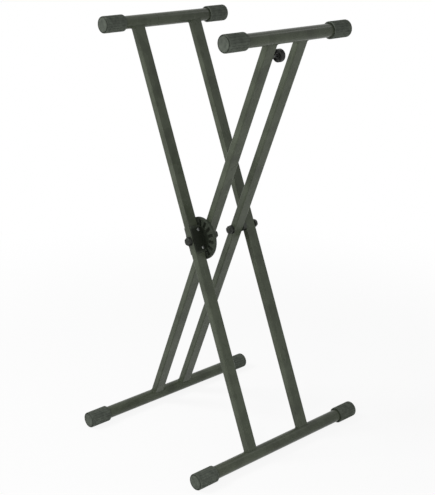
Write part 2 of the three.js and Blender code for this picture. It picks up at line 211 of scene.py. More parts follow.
def powderCoat():
    # polyester powder baked on steel tube: a satin grey-green film with a faint orange peel
    made = newMaterial("powder_coat", {"IOR": 1.5, "Specular IOR Level": 0.2})
    tree, place = made["tree"], made["place"]
    drift = cloud(tree, place, grain=38 * mm, detail=4)
    # the peel's lumps are 1 to 2 mm across and are drawn at 4 mm as well, so that they show
    coarse = cloud(tree, place, grain=4 * mm, detail=1)
    fine = cloud(tree, place, grain=1.2 * mm, detail=2)
    colour = shades(tree, drift, ["#404539", "#4a5042", "#515749"])
    peel = [(coarse, 0.04 * mm), (fine, 0.01 * mm)]
    return finishSurface(made, colour, spread(tree, drift, low=0.24, high=0.31), peel)


def capRubber():
    # matt moulded rubber with a fine grain, a little dusty on its high spots
    made = newMaterial("cap_rubber", {"IOR": 1.5, "Specular IOR Level": 0.12})
    tree, place = made["tree"], made["place"]
    dust = cloud(tree, place, grain=9 * mm, detail=3)
    grain = cloud(tree, place, grain=0.8 * mm, detail=3)
    colour = shades(tree, dust, ["#4c514a", "#565b53", "#5f655c"])
    return finishSurface(made, colour, spread(tree, grain, low=0.72, high=0.88), [(grain, 0.06 * mm)])


# painted shade: the disc's pockets and hub are coloured darker than its ribs and rim, standing in for the
# shade in the recesses
discPocketShade = {
    "face": 6 * mm,  # in front of the disc's back
    "depth": 0.8 * mm,  # how far below the face the painted pocket shade sets in; the ribs stay paler
    "ribsFrom": (26 * mm, 29 * mm),  # distances from the pivot over which the paler ribs begin
    "rimFrom": (46 * mm, 47 * mm),
    "paler": 0.36,
    "shadesOver": (0.35, 0.95),  # the range of the fibre's noise with the paler ribs and rim added to it
}


def pocketShadeMask(tree, place):
    # painted shade: 1 on the ribs between the disc's pockets and on its rim, 0 in the pockets and near the
    # hub, which are painted darker as shade
    w = discPocketShade
    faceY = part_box("index_disc")[1].y - w["face"]
    away = addNode(tree, "ShaderNodeVectorMath", {"operation": "SUBTRACT", 1: pivot}, {0: place})
    flatten = {"operation": "MULTIPLY", 1: (1, 0, 1)}
    level = addNode(tree, "ShaderNodeVectorMath", flatten, {0: away.outputs["Vector"]})
    reach = addNode(tree, "ShaderNodeVectorMath", {"operation": "LENGTH"}, {0: level.outputs["Vector"]})
    radius = reach.outputs["Value"]
    along = addNode(tree, "ShaderNodeSeparateXYZ", links={"Vector": place}).outputs["Y"]
    shallow = ramp(tree, along, faceY + w["depth"] / 3, faceY + w["depth"], 1, 0)
    outside = ramp(tree, radius, *w["ribsFrom"], 0, 1)
    ribs = maths(tree, "MULTIPLY", shallow, outside)
    rim = ramp(tree, radius, *w["rimFrom"], 0, 1)
    return maths(tree, "MAXIMUM", ribs, rim)


def discNylon():
    # black glass-filled nylon, moulded: dull, with short pale flecks of fibre; its pockets and hub are
    # painted darker as shade, so the ribs and rim read paler
    made = newMaterial("disc_nylon", {"IOR": 1.53, "Specular IOR Level": 0.13})
    tree, place = made["tree"], made["place"]
    fibre = cloud(tree, place, grain=1.1 * mm, detail=4)
    # painted shade: the pockets stay at the fibre's dark tones, while the ribs and rim are lifted paler
    fibreAndPocketShade = addNode(tree, "ShaderNodeMath", {"operation": "MULTIPLY_ADD", 1: discPocketShade["paler"]}, {
        0: pocketShadeMask(tree, place), 2: fibre,
    }).outputs["Value"]
    colour = shades(tree, fibreAndPocketShade, ["#171a14", "#1f231b", "#2c3128", "#3f443b"], *discPocketShade["shadesOver"])
    return finishSurface(made, colour, spread(tree, fibre, low=0.46, high=0.6), [(fibre, 0.03 * mm)])


def blackZinc():
    # black zinc plate on rolled steel: dark dull metal with cloudy patches
    made = newMaterial("black_zinc", {"Metallic": 1})
    tree, place = made["tree"], made["place"]
    patch = cloud(tree, place, grain=4 * mm, detail=4)
    colour = shades(tree, patch, ["#31332f", "#3c3e3a", "#494b46"])
    return finishSurface(made, colour, spread(tree, patch, low=0.45, high=0.62), [(patch, 0.03 * mm)])


def brightZinc():
    # bright zinc plate on turned steel, gone dull: grey metal with fine turning marks
    made = newMaterial("bright_zinc", {"Metallic": 1})
    tree, place = made["tree"], made["place"]
    marks = cloud(tree, place, grain=0.5 * mm, detail=3)
    colour = shades(tree, cloud(tree, place, grain=4 * mm, detail=3), ["#606260", "#727471", "#858784"])
    return finishSurface(made, colour, spread(tree, marks, low=0.34, high=0.46), [(marks, 0.01 * mm)])


def knobPlastic():
    # black moulded plastic with a spark-eroded satin skin
    made = newMaterial("knob_plastic", {"IOR": 1.49, "Specular IOR Level": 0.25})
    tree, place = made["tree"], made["place"]
    skin = cloud(tree, place, grain=0.5 * mm, detail=2)
    colour = shades(tree, cloud(tree, place, grain=3 * mm, detail=3), ["#171816", "#1f201d", "#272925"])
    return finishSurface(made, colour, spread(tree, skin, low=0.38, high=0.5), [(skin, 0.03 * mm)])


def bushBrass():
    # turned brass, dulled by handling, with oil-dark pores
    made = newMaterial("bush_brass", {"Metallic": 1})
    tree, place = made["tree"], made["place"]
    pores = cloud(tree, place, grain=0.4 * mm, detail=2)
    colour = shades(tree, cloud(tree, place, grain=1.5 * mm, detail=3), ["#7d683c", "#a88f55", "#bda468"])
    return finishSurface(made, colour, spread(tree, pores, low=0.28, high=0.48), [(pores, 0.02 * mm)])


def washerNylon():
    # natural nylon, slightly waxy and see-through at its edges
    made = newMaterial("washer_nylon", {"IOR": 1.53, "Subsurface Weight": 0.3, "Subsurface Scale": 1 * mm})
    tree, place = made["tree"], made["place"]
    scuffs = cloud(tree, place, grain=0.7 * mm, detail=3)
    colour = shades(tree, cloud(tree, place, grain=6 * mm, detail=3), ["#cfccc0", "#d8d6cc", "#e0ded5"])
    return finishSurface(made, colour, spread(tree, scuffs, low=0.4, high=0.55), [(scuffs, 0.02 * mm)])


finishes = {
    "powder_coat": powderCoat(), "cap_rubber": capRubber(), "disc_nylon": discNylon(),
    "black_steel": blackZinc(), "bright_steel": brightZinc(), "knob_plastic": knobPlastic(),
    "bush_brass": bushBrass(), "washer_nylon": washerNylon(),
}
print("materials made:", len(finishes))


touching = 0.001 * mm  # what is nearer than this lies in the same place


def turned(points, steps, closed=False):
    # spins a profile of (radius, y) points about the Y axis
    bm = bmesh.new()
    verts = [bm.verts.new((radius, y, 0)) for radius, y in points]
    pairs = list(zip(verts, verts[1:]))
    if closed:
        pairs.append((verts[-1], verts[0]))
    edges = [bm.edges.new(pair) for pair in pairs]
    bmesh.ops.spin(
        bm, geom=verts + edges, axis=(0, 1, 0), cent=(0, 0, 0), angle=2 * math.pi, steps=steps,
        use_merge=True,
    )
    bmesh.ops.remove_doubles(bm, verts=bm.verts, dist=touching)
    bmesh.ops.recalc_face_normals(bm, faces=bm.faces)
    return bm


def rod(radius, low, high, steps=48):
    return turned([(0, low), (radius, low), (radius, high), (0, high)], steps)


def ring(radius, bore, low, high, steps=72):
    return turned([(bore, low), (radius, low), (radius, high), (bore, high)], steps, closed=True)


def block(size, centre):
    bm = bmesh.new()
    bmesh.ops.create_cube(bm, size=1)
    bmesh.ops.scale(bm, vec=size, verts=bm.verts)
    bmesh.ops.translate(bm, vec=centre, verts=bm.verts)
    return bm


def quarter(centreRadius, centreY, size, start, steps=5):
    # points on a quarter circle, turning from one angle by 90 degrees; angle 0 points out along the radius
    angles = [math.radians(start + 90 * i / steps) for i in range(steps + 1)]
    return [(centreRadius + size * math.cos(a), centreY + size * math.sin(a)) for a in angles]


def quarterTurn(steps):
    # evenly spaced angles from 0 to 90 degrees
    return [math.pi / 2 * i / steps for i in range(steps + 1)]


def soften(bm, width, segments=2, sharpest=35):
    # rounds every edge that turns by more than the given angle
    limit = math.radians(sharpest)
    sharp = [edge for edge in bm.edges if len(edge.link_faces) == 2 and edge.calc_face_angle() > limit]
    bmesh.ops.bevel(
        bm, geom=sharp, offset=width, offset_type="OFFSET", segments=segments, profile=0.5,
        affect="EDGES", clamp_overlap=True, material=-1,
    )
    return bm


def move(bm, matrix):
    bmesh.ops.transform(bm, matrix=matrix, verts=bm.verts)
    return bm


def shift(x, y, z):
    return Matrix.Translation((x, y, z))


def facing(direction):
    # turns round a shape that was built to face +Y, where it has to face -Y
    return Matrix.Rotation(0 if direction > 0 else math.pi, 4, "Z")


def toObject(bm, name):
    mesh = bpy.data.meshes.new(name)
    bm.to_mesh(mesh)
    bm.free()
    thing = bpy.data.objects.new(name, mesh)
    bpy.context.scene.collection.objects.link(thing)
    return thing


def takeMesh(thing):
    # the finished mesh of a helper object, which is deleted
    shown = thing.evaluated_get(bpy.context.evaluated_depsgraph_get())
    bm = bmesh.new()
    bm.from_mesh(shown.to_mesh())
    shown.to_mesh_clear()
    bpy.data.objects.remove(thing)
    return bm


def combine(bm, tools, operation):
    # cuts the tools from a closed shape, or joins them to it
    base = toObject(bm, "blank")
    helpers = [toObject(tool, "tool") for tool in tools]
    for helper in helpers:
        step = base.modifiers.new("step", "BOOLEAN")
        step.solver = "EXACT"
        step.operation = operation
        step.object = helper
    result = takeMesh(base)
    for helper in helpers:
        bpy.data.objects.remove(helper)
    return result


def sweep(points, radius, swell=(1,), closed=False):
    # a round wire or bead through the points; its thickness follows the list of swells over and over
    data = bpy.data.curves.new("path", "CURVE")
    data.dimensions = "3D"
    data.bevel_depth = radius
    data.bevel_resolution = 3
    data.use_fill_caps = not closed
    line = data.splines.new("POLY")
    line.points.add(len(points) - 1)
    for number, point in enumerate(points):
        line.points[number].co = (*point, 1)
        line.points[number].radius = swell[number % len(swell)]
    line.use_cyclic_u = closed
    path = bpy.data.objects.new("path", data)
    bpy.context.scene.collection.objects.link(path)
    bm = takeMesh(path)
    bmesh.ops.remove_doubles(bm, verts=bm.verts, dist=touching)
    bmesh.ops.recalc_face_normals(bm, faces=bm.faces)
    return bm


def addPiece(bm, name, rides, finishName, stands=(), sharp=40):
    # edges that turn by more than sharp, in degrees, stay crisp
    piece = toObject(bm, name)
    mesh = piece.data
    mesh.shade_smooth()
    mesh.set_sharp_from_angle(angle=math.radians(sharp))
    mesh.materials.append(finishes[finishName])
    weighted = piece.modifiers.new("face_weighted", "WEIGHTED_NORMAL")  # keeps wide faces looking flat
    weighted.keep_sharp = True
    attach(piece, rides)
    if stands:
        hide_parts(*stands)
    return piece


barTube = {"wall": 1.5 * mm, "steps": 96, "edge": 0.3 * mm}


def makeBar(node, side):
    low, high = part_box(node)
    centre = (low + high) / 2
    radius = (high.z - low.z) / 2
    bm = soften(ring(radius, radius - barTube["wall"], low.y, high.y, barTube["steps"]), barTube["edge"])
    addPiece(move(bm, shift(centre.x, 0, centre.z)), node + "_tube", body[side], "powder_coat", [node])


capMoulding = {
    "ribs": 20,
    "stepsPerRib": 12,
    "grooveDepth": 0.8 * mm,
    "grooveShare": 0.3,  # of the way from one rib to the next
    "grooveFade": 2.5 * mm,  # run-out at the ends of a groove
    "endRounding": 3.5 * mm,
    "endTurn": 40,  # degrees of the end rounding that the ring line leaves
    "endSteps": 7,
    "mouthRounding": 1.2 * mm,
    "endWall": 4 * mm,
    "fit": 0.3 * mm,  # between the bar and the bore
    "mouthRecess": 2.5 * mm,  # depth of the lead-in round the bar
    "mouthRecessWidth": 1.7 * mm,
    "ringLine": 3 * mm,  # depth of the line round the end face
    "ringDraft": 0.15 * mm,
    "faceDome": 0.5 * mm,
    "dimpleRadius": 8.5 * mm,
    "dimpleEdge": 0.4 * mm,
    "dimpleDepth": 0.35 * mm,
    "sharp": 50,
}


def capProfile(radius, length):
    c = capMoulding
    bore = barRadius + c["fit"]
    recess = bore + c["mouthRecessWidth"]
    end, mouth = c["endRounding"], c["mouthRounding"]
    face = radius - end
    points = [(0, length - c["endWall"]), (bore, length - c["endWall"]), (bore, c["mouthRecess"])]
    points += [(recess, c["mouthRecess"] / 2), (recess, 0)]
    points += quarter(radius - mouth, mouth, mouth, -90)
    points += [(radius, mouth + c["grooveFade"]), (radius, length - end - c["grooveFade"])]
    turns = [math.radians(c["endTurn"] * i / c["endSteps"]) for i in range(c["endSteps"] + 1)]
    points += [(face + end * math.cos(a), length - end + end * math.sin(a)) for a in turns]
    outside, lineFloor = points[-1][0] - c["ringDraft"], length - c["ringLine"]
    points += [(outside, lineFloor), (face + c["ringDraft"], lineFloor)]

    def dome(at):
        return length - c["faceDome"] * (at / face) ** 2

    dimple = c["dimpleRadius"]
    points += [(at, dome(at)) for at in (face, (face + dimple) / 2, dimple + c["dimpleEdge"])]
    dimpleFloor = dome(dimple) - c["dimpleDepth"]
    return points + [(dimple, dimpleFloor), (0, dimpleFloor)]


def makeCap(node, side):
    c = capMoulding
    low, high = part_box(node)
    centre = (low + high) / 2
    radius, length = (high.z - low.z) / 2, high.y - low.y
    bm = turned(capProfile(radius, length), c["ribs"] * c["stepsPerRib"])
    inside = barRadius + c["fit"] + c["mouthRecessWidth"] + c["ringDraft"]
    start, finish = c["mouthRounding"], length - c["endRounding"]
    for vert in bm.verts:
        away = math.hypot(vert.co.x, vert.co.z)
        run = min(vert.co.y - start, finish - vert.co.y) / c["grooveFade"]
        if away < inside or run <= 0:
            continue
        turn = math.atan2(vert.co.z, vert.co.x) / (2 * math.pi) * c["ribs"] % 1
        across = abs(turn - 0.5) / (c["grooveShare"] / 2)  # 0 in the middle of a groove, 1 at its edge
        depth = c["grooveDepth"] * max(0, 1 - across ** 2) * min(1, run)
        vert.co.x *= (away - depth) / away
        vert.co.z *= (away - depth) / away
    outward = 1 if centre.y > 0 else -1
    mouthY = low.y if outward > 0 else high.y
    move(bm, shift(centre.x, mouthY, centre.z) @ facing(outward))
    addPiece(bm, node + "_moulding", body[side], "cap_rubber", [node], c["sharp"])


for side in body:
    for barName in ("top", "floor"):
        makeBar(f"{side}_{barName}_bar", side)
        for endName in endNames:
            makeCap(f"cap_{side}_{barName}_{endName}", side)
print("bars and caps made")

pivotBolt = {
    "radius": 5 * mm,
    "acrossFlats": 16 * mm,
    "headHeight": 6.4 * mm,
    "play": 0.25 * mm,  # in what turns on the bolt
    "holePlay": 0.35 * mm,  # in what the bolt only passes through
    "chamfer": 0.5 * mm,
    "cornerDrop": 1 * mm,
    "chamferSlope": 30,  # degrees, for the turned chamfer over the hexagon's corners
    "faceShare": 0.93,  # of the distance across flats, for the round that the chamfer leaves
    "dishEdge": 0.45,  # the hollow in the head, its edge and its floor, as shares of the same distance
    "dishFloor": 0.4,
    "dishDepth": 0.3 * mm,
    "steps": 72,
    "sharp": 24,
}
ringEdges = {"washer": 0.3 * mm, "sleeve": 0.2 * mm, "spacer": 0.6 * mm, "thrustWasher": 0.25 * mm}


def hexagonal(bm, flat, low, high, bothEnds=False):
    # pulls a round blank out to a hexagon, with the curved line that a turned chamfer leaves on each side
    face = flat * pivotBolt["faceShare"]
    slope = math.tan(math.radians(pivotBolt["chamferSlope"]))
    for vert in bm.verts:
        radius = math.hypot(vert.co.x, vert.co.z)
        if radius < face + touching:
            continue
        angle = math.atan2(vert.co.x, vert.co.z) % (math.pi / 3) - math.pi / 6
        wanted = flat / math.cos(angle)
        drop = (wanted - face) * slope
        if vert.co.y > (low + high) / 2:
            vert.co.y = high - drop
        elif bothEnds:
            vert.co.y = low + drop
        vert.co.x *= wanted / radius
        vert.co.z *= wanted / radius
    return bm


def outwardSpan(node):
    # how near and how far from the stand's middle a piece of the outer frame reaches along Y
    low, high = localBox(node, "outer")
    return sorted((abs(low.y), abs(high.y)))


def makeRing(node, side, finishName, bore, edge):
    low, high = localBox(node, side)
    bm = soften(ring((high.z - low.z) / 2, bore, low.y, high.y), edge)
    addPiece(move(bm, axes[side]), node + "_ring", body[side], finishName, [node])


def makePivot(endName):
    # built for the far side and turned round for the near one
    p = pivotBolt
    place = axes["outer"] @ facing(-1 if endName == "near" else 1)
    flat = p["acrossFlats"] / 2
    corner = flat / math.cos(math.pi / 6)
    face = flat * p["faceShare"]
    tip, top = outwardSpan(f"pivot_bolt_{endName}")
    under = top - p["headHeight"]
    dishFloor = top - p["dishDepth"]
    bolt = hexagonal(turned([
        (0, tip), (p["radius"] - p["chamfer"], tip), (p["radius"], tip + p["chamfer"]),
        (p["radius"], under), (corner, under), (corner, top - p["cornerDrop"]), (face, top),
        (flat * p["dishEdge"], top), (flat * p["dishFloor"], dishFloor), (0, dishFloor),
    ], p["steps"]), flat, under, top)
    addPiece(move(bolt, place), f"pivot_bolt_{endName}_hex", body["outer"], "black_steel",
             [f"pivot_bolt_{endName}"], p["sharp"])
    low, high = outwardSpan(f"pivot_nut_{endName}")
    bore = p["radius"] + p["play"]
    nut = hexagonal(turned([
        (bore, low + p["chamfer"]), (bore + p["chamfer"], low), (face, low),
        (corner, low + p["cornerDrop"]), (corner, high - p["cornerDrop"]),
        (face, high), (bore + p["chamfer"], high), (bore, high - p["chamfer"]),
    ], p["steps"], closed=True), flat, low, high, bothEnds=True)
    addPiece(move(nut, place), f"pivot_nut_{endName}_hex", body["outer"], "black_steel",
             [f"pivot_nut_{endName}"], p["sharp"])
    for washer in ("bolt_washer", "nut_washer"):
        makeRing(f"{washer}_{endName}", "outer", "black_steel", boltHole, ringEdges["washer"])
    makeRing(f"pivot_sleeve_{endName}", "inner", "bright_steel", bore, ringEdges["sleeve"])


boltHole = pivotBolt["radius"] + pivotBolt["holePlay"]
for endName in endNames:
    makePivot(endName)
makeRing("pivot_spacer_far", "outer", "black_steel", boltHole, ringEdges["spacer"])
makeRing("thrust_washer", "outer", "washer_nylon", boltHole, ringEdges["thrustWasher"])
print("pivots made")

indexScrew = {
    "radius": 1.8 * mm,
    "hole": 2.15 * mm,
    "headHeight": 2.4 * mm,
    "headRim": 0.35,  # share of the head's height that stands straight, below its dome
    "slotWidth": 1.2 * mm,
    "slotDepth": 1.1 * mm,
    "tipChamfer": 0.5 * mm,
    "holeReach": 15 * mm,  # half the length of a hole's cutter, which starts in the middle of the leg
    "holeSteps": 24,
    "domeSteps": 8,
    "steps": 48,
    "sharp": 30,
}
screwNodes = [f"index_screw_{number}" for number in (1, 2, 3, 4)]
turnAcross = Matrix.Rotation(math.pi / 2, 4, "Z")


def screwCutters():
    # clearance holes for the four index screws, which lie across the leg
    cutters = []
    reach = indexScrew["holeReach"]
    for node in screwNodes:
        centre = localMiddle(node, "outer")
        out = math.copysign(reach, centre.x)
        across = rod(indexScrew["hole"], -reach, reach, indexScrew["holeSteps"])
        cutters.append(move(across, shift(out, centre.y, centre.z) @ turnAcross))
    return cutters


def makeIndexScrew(node):
    s = indexScrew
    low, high = localBox(node, "outer")
    centre = (low + high) / 2
    outward = 1 if centre.x > 0 else -1
    tip, top = sorted((abs(low.x), abs(high.x)))
    under, headRadius = top - s["headHeight"], (high.z - low.z) / 2
    rim = s["headHeight"] * s["headRim"]
    turns = quarterTurn(s["domeSteps"])[:-1]
    dome = [(headRadius * math.cos(a), under + rim + (s["headHeight"] - rim) * math.sin(a)) for a in turns]
    screw = turned([
        (0, tip), (s["radius"] - s["tipChamfer"], tip), (s["radius"], tip + s["tipChamfer"]),
        (s["radius"], under), (headRadius, under),
    ] + dome + [(0, top)], s["steps"])
    slot = block((s["slotWidth"], 2 * s["slotDepth"], 3 * headRadius), (0, top, 0))
    screw = combine(screw, [slot], "DIFFERENCE")
    turnOut = Matrix.Rotation(-outward * math.pi / 2, 4, "Z")
    move(screw, axes["outer"] @ shift(0, centre.y, centre.z) @ turnOut)
    addPiece(screw, node + "_slotted", body["outer"], "bright_steel", [node], s["sharp"])


for node in screwNodes:
    makeIndexScrew(node)
print("index screws made")

bushes = {
    "lock_pin_bush": {
        "radius": 5.2 * mm, "flange": 7 * mm, "thickness": 1.2 * mm, "bore": 3.35 * mm,
        "out": -1, "finish": "bush_brass",
    },
    "stem_bush": {
        "radius": 5 * mm, "flange": 6.5 * mm, "thickness": 1.5 * mm, "bore": 3.25 * mm,
        "out": 1, "finish": "black_steel",
    },
}
bushEdge, bushSteps = 0.2 * mm, 64


def makeBush(node):
    # the flange lies outside the leg, on the side that faces out along Y
    b = bushes[node]
    low, high = localBox(node, "inner")
    reach = (high.y - low.y) / 2
    bm = soften(turned([
        (b["bore"], -reach), (b["radius"], -reach), (b["radius"], reach - b["thickness"]),
        (b["flange"], reach - b["thickness"]), (b["flange"], reach), (b["bore"], reach),
    ], bushSteps, closed=True), bushEdge)
    place = axes["inner"] @ shift(0, (low.y + high.y) / 2, (low.z + high.z) / 2) @ facing(b["out"])
    addPiece(move(bm, place), node + "_turned", body["inner"], b["finish"], [node])


for node in bushes:
    makeBush(node)
print("bushes made")

legTube = {
    "wall": 1.5 * mm,
    "corner": 2.6 * mm,
    "cornerSteps": 8,
    "saddleSteps": 12,  # across the end that is hollowed to sit on the bar
    "seat": 0.3 * mm,
    "cutBeyond": 5 * mm,  # how far the hole cutters reach past the leg
}
weldBead = {
    "radius": 1.1 * mm,
    "ripple": 2.2 * mm,  # from one ripple to the next
    "rippleDepth": 0.1,
    "pointsPerRipple": 6,
    "standOff": 0.2 * mm,
    "sharp": 80,
}


def saddleHeight(x, gap):
    # height above the pivot at which a leg meets the round of its bar
    reach = barRadius + gap
    return pivotToBar - math.sqrt(reach ** 2 - x ** 2)


def legBlank(size):
    bm = bmesh.new()
    bmesh.ops.create_grid(bm, x_segments=1, y_segments=1, size=0.5)
    bmesh.ops.scale(bm, vec=(size.x, size.y, 1), verts=bm.verts)
    bmesh.ops.bevel(
        bm, geom=bm.verts[:], offset=legTube["corner"], offset_type="OFFSET",
        segments=legTube["cornerSteps"], profile=0.5, affect="VERTICES", clamp_overlap=True, material=-1,
    )
    across = [edge for edge in bm.edges if abs(edge.verts[0].co.x - edge.verts[1].co.x) > size.x / 3]
    bmesh.ops.subdivide_edges(bm, edges=across, cuts=legTube["saddleSteps"] - 1)
    grown = bmesh.ops.extrude_face_region(bm, geom=bm.faces[:])["geom"]
    top = {item for item in grown if isinstance(item, bmesh.types.BMVert)}
    for vert in bm.verts:
        height = saddleHeight(vert.co.x, legTube["seat"])
        vert.co.z = height if vert in top else -height
    ends = [face for face in bm.faces if len(face.verts) > 4]
    bmesh.ops.delete(bm, geom=ends, context="FACES_ONLY")
    bmesh.ops.recalc_face_normals(bm, faces=bm.faces)
    bmesh.ops.solidify(bm, geom=bm.faces[:], thickness=legTube["wall"])
    bmesh.ops.recalc_face_normals(bm, faces=bm.faces)
    return bm


def legCutters(side, endName, low, high):
    # holes for what passes through a leg's walls, along Y; the near legs also hold the screws and bushes
    play = pivotBolt["holePlay"]
    reach = (low.y - legTube["cutBeyond"], high.y + legTube["cutBeyond"])
    if side == "outer":
        cutters = [rod(boltHole, *reach)]
        return cutters + (screwCutters() if endName == "near" else [])
    sleeveLow, sleeveHigh = localBox(f"pivot_sleeve_{endName}", side)
    cutters = [rod((sleeveHigh.x - sleeveLow.x) / 2 + play, *reach)]
    if endName == "near":
        halfway = (low.y + high.y) / 2
        for bush, where in (("lock_pin_bush", (reach[0], halfway)), ("stem_bush", (halfway, reach[1]))):
            height = localMiddle(bush, side).z
            cutters.append(move(rod(bushes[bush]["radius"] + play, *where), shift(0, 0, height)))
    return cutters


def roundOutline(size, corner, spacing):
    # evenly spaced points round a rectangle with round corners
    straight = [size.y - 2 * corner, size.x - 2 * corner]
    length = 2 * sum(straight) + 2 * math.pi * corner
    count = round(length / spacing)
    points = []
    for number in range(count):
        left = length * number / count
        for k in range(4):
            run = straight[k % 2]
            heading = math.pi / 2 * (k + 1)  # along +Y, -X, -Y and +X in turn
            along = Vector((math.cos(heading), math.sin(heading)))
            out = Vector((along.y, -along.x))
            halfOut = (size.x if k % 2 == 0 else size.y) / 2
            if left < run:
                points.append(out * halfOut + along * (left - run / 2))
                break
            left -= run
            if left < math.pi / 2 * corner:
                turn = left / corner
                centre = out * (halfOut - corner) + along * (run / 2)
                points.append(centre + corner * (out * math.cos(turn) + along * math.sin(turn)))
                break
            left -= math.pi / 2 * corner
    return points


def makeWeld(name, side, low, high, up):
    w = weldBead
    grow = Vector((2 * w["standOff"], 2 * w["standOff"], 0))
    outline = roundOutline(high - low + grow, legTube["corner"], w["ripple"] / w["pointsPerRipple"])
    centreY = (low.y + high.y) / 2
    points = [(x, y + centreY, up * saddleHeight(x, w["standOff"])) for x, y in outline]
    turns = [2 * math.pi * i / w["pointsPerRipple"] for i in range(w["pointsPerRipple"])]
    bead = sweep(points, w["radius"], [1 + w["rippleDepth"] * math.sin(a) for a in turns], closed=True)
    addPiece(move(bead, axes[side]), name, body[side], "powder_coat", sharp=w["sharp"])


def makeLeg(side, endName):
    node = f"{side}_leg_{endName}"
    low, high = localBox(node, side)
    bm = move(legBlank(high - low), shift(0, (low.y + high.y) / 2, 0))
    bm = combine(bm, legCutters(side, endName, low, high), "DIFFERENCE")
    addPiece(move(bm, axes[side]), node + "_tube", body[side], "powder_coat", [node])
    for barName, up in (("top", 1), ("floor", -1)):
        makeWeld(f"weld_{side}_{barName}_{endName}", side, low, high, up)


for side in body:
    for endName in endNames:
        makeLeg(side, endName)
print("legs and welds made")

indexDisc = {
    "thickness": 6 * mm,
    "edge": 0.9 * mm,
    "holes": 16,
    "holeRadius": 3.45 * mm,
    "holeDepth": 3 * mm,  # blind, from the back
    "holeEdge": 0.2 * mm,
    "holeSteps": 32,
    "pocket": (7 * mm, 15 * mm, 2.5 * mm),  # across, along the spoke, deep
    "pocketRounding": 1.1 * mm,
    "cheek": 3 * mm,
    "cheekEdge": 0.8 * mm,
    "legPlay": 0.3 * mm,
    "saddleLength": 60 * mm,
    "cutBeyond": 1 * mm,  # how far the hole cutters reach past a face
    "steps": 120,
    "sharp": 30,
}


def discCutters(front, back):
    # a pin hole from the back and a moulded pocket in front of it for each index position
    d = indexDisc
    beyond = d["cutBeyond"]
    flare = d["holeRadius"] + d["holeEdge"] + beyond
    circle = localMiddle("lock_pin_bush", "inner").z
    across, along, deep = d["pocket"]
    holeEnd = back - d["holeDepth"]
    tools = []
    for number in range(d["holes"]):
        angle = frameLean("inner") - frameLean("outer") + 2 * math.pi * number / d["holes"]
        place = Matrix.Rotation(angle, 4, "Y") @ shift(0, 0, circle)
        hole = turned([
            (0, holeEnd), (d["holeRadius"], holeEnd), (d["holeRadius"], back - d["holeEdge"]),
            (flare, back + beyond), (0, back + beyond),
        ], d["holeSteps"])
        pocket = block((across, 2 * deep, along), (0, front, 0))
        tools += [move(hole, place), move(soften(pocket, d["pocketRounding"], 3), place)]
    return tools


def makeIndexDisc():
    d = indexDisc
    low, high = localBox("index_disc", "outer")
    back = high.y
    front = back - d["thickness"]
    radius = (high.x - low.x) / 2
    plate = soften(ring(radius, boltHole, front, back, d["steps"]), d["edge"], 3)
    plate = combine(plate, discCutters(front, back), "DIFFERENCE")
    legLow, legHigh = localBox("outer_leg_near", "outer")
    channel = legHigh.x - legLow.x + 2 * d["legPlay"]
    saddleTo = front + d["edge"]
    saddle = soften(block(
        (channel + 2 * d["cheek"], saddleTo - low.y, d["saddleLength"]), (0, (low.y + saddleTo) / 2, 0),
    ), d["cheekEdge"], 3)
    padY = legHigh.y + d["legPlay"]
    room = block((channel, 2 * (padY - low.y), 2 * d["saddleLength"]), (0, low.y, 0))
    through = rod(boltHole, padY - d["cutBeyond"], back + d["cutBeyond"])
    saddle = combine(saddle, [room, through] + screwCutters(), "DIFFERENCE")
    moulding = combine(plate, [saddle], "UNION")
    addPiece(move(moulding, axes["outer"]), "index_disc_moulding", body["outer"], "disc_nylon",
             ["index_disc"], d["sharp"])


makeIndexDisc()
print("index disc made")

pullKnob = {
    "rimWidth": 2.6 * mm,
    "rimRounding": 1 * mm,
    "bossRadius": 5.6 * mm,
    "bossBack": 0.5 * mm,  # the boss stops this far inside the rim
    "recess": 4.5 * mm,
    "socket": 5.5 * mm,
    "edge": 0.4 * mm,
    "fillet": 0.6 * mm,
    "crownWidth": 6.5 * mm,
    "crownDepth": 5 * mm,
    "crownSteps": 10,
    "stemRadius": 3 * mm,
    "stemPlay": 0.3 * mm,
    "stemFlange": 3 * mm,
    "stemSteps": 48,
    "steps": 96,
    "sharp": 50,
}


def makeKnob():
    k = pullKnob
    low, high = localBox("release_knob", "inner")
    back, front, radius = low.y, high.y, (high.z - low.z) / 2
    hole, boss, rim = k["stemRadius"] + k["stemPlay"], k["bossRadius"], radius - k["rimWidth"]
    recessFloor, bossBack = back + k["recess"], back + k["bossBack"]
    edge, fillet, rounding = k["edge"], k["fillet"], k["rimRounding"]
    profile = [(0, back + k["socket"]), (hole, back + k["socket"]), (hole, bossBack + edge)]
    profile += [(hole + edge, bossBack), (boss - edge, bossBack), (boss, bossBack + edge)]
    profile += [(boss, recessFloor - fillet), (boss + fillet, recessFloor)]
    profile += [(rim - fillet, recessFloor), (rim, recessFloor - fillet)]
    profile += [(rim, back + edge), (rim + edge, back)]
    profile += quarter(radius - rounding, back + rounding, rounding, -90)
    for a in quarterTurn(k["crownSteps"]):
        outwards, along = k["crownWidth"] * (1 - math.cos(a)), k["crownDepth"] * (1 - math.sin(a))
        profile.append((radius - outwards, front - along))
    knob = turned(profile + [(0, front)], k["steps"])
    place = axes["inner"] @ shift(0, 0, (low.z + high.z) / 2)
    addPiece(move(knob, place), "release_knob_moulding", "release_knob", "knob_plastic",
             ["release_knob"], k["sharp"])
    stemLow, stemHigh = localBox("knob_stem", "inner")
    flange, flangeEnd = (stemHigh.z - stemLow.z) / 2, stemLow.y + k["stemFlange"]
    stem = turned([
        (0, stemLow.y), (flange - edge, stemLow.y), (flange, stemLow.y + edge), (flange, flangeEnd - edge),
        (flange - edge, flangeEnd), (k["stemRadius"], flangeEnd), (k["stemRadius"], stemHigh.y - edge),
        (k["stemRadius"] - edge, stemHigh.y), (0, stemHigh.y),
    ], k["stemSteps"])
    addPiece(move(stem, place), "knob_stem_turned", "release_knob", "bright_steel", ["knob_stem"])


makeKnob()
print("knob made")

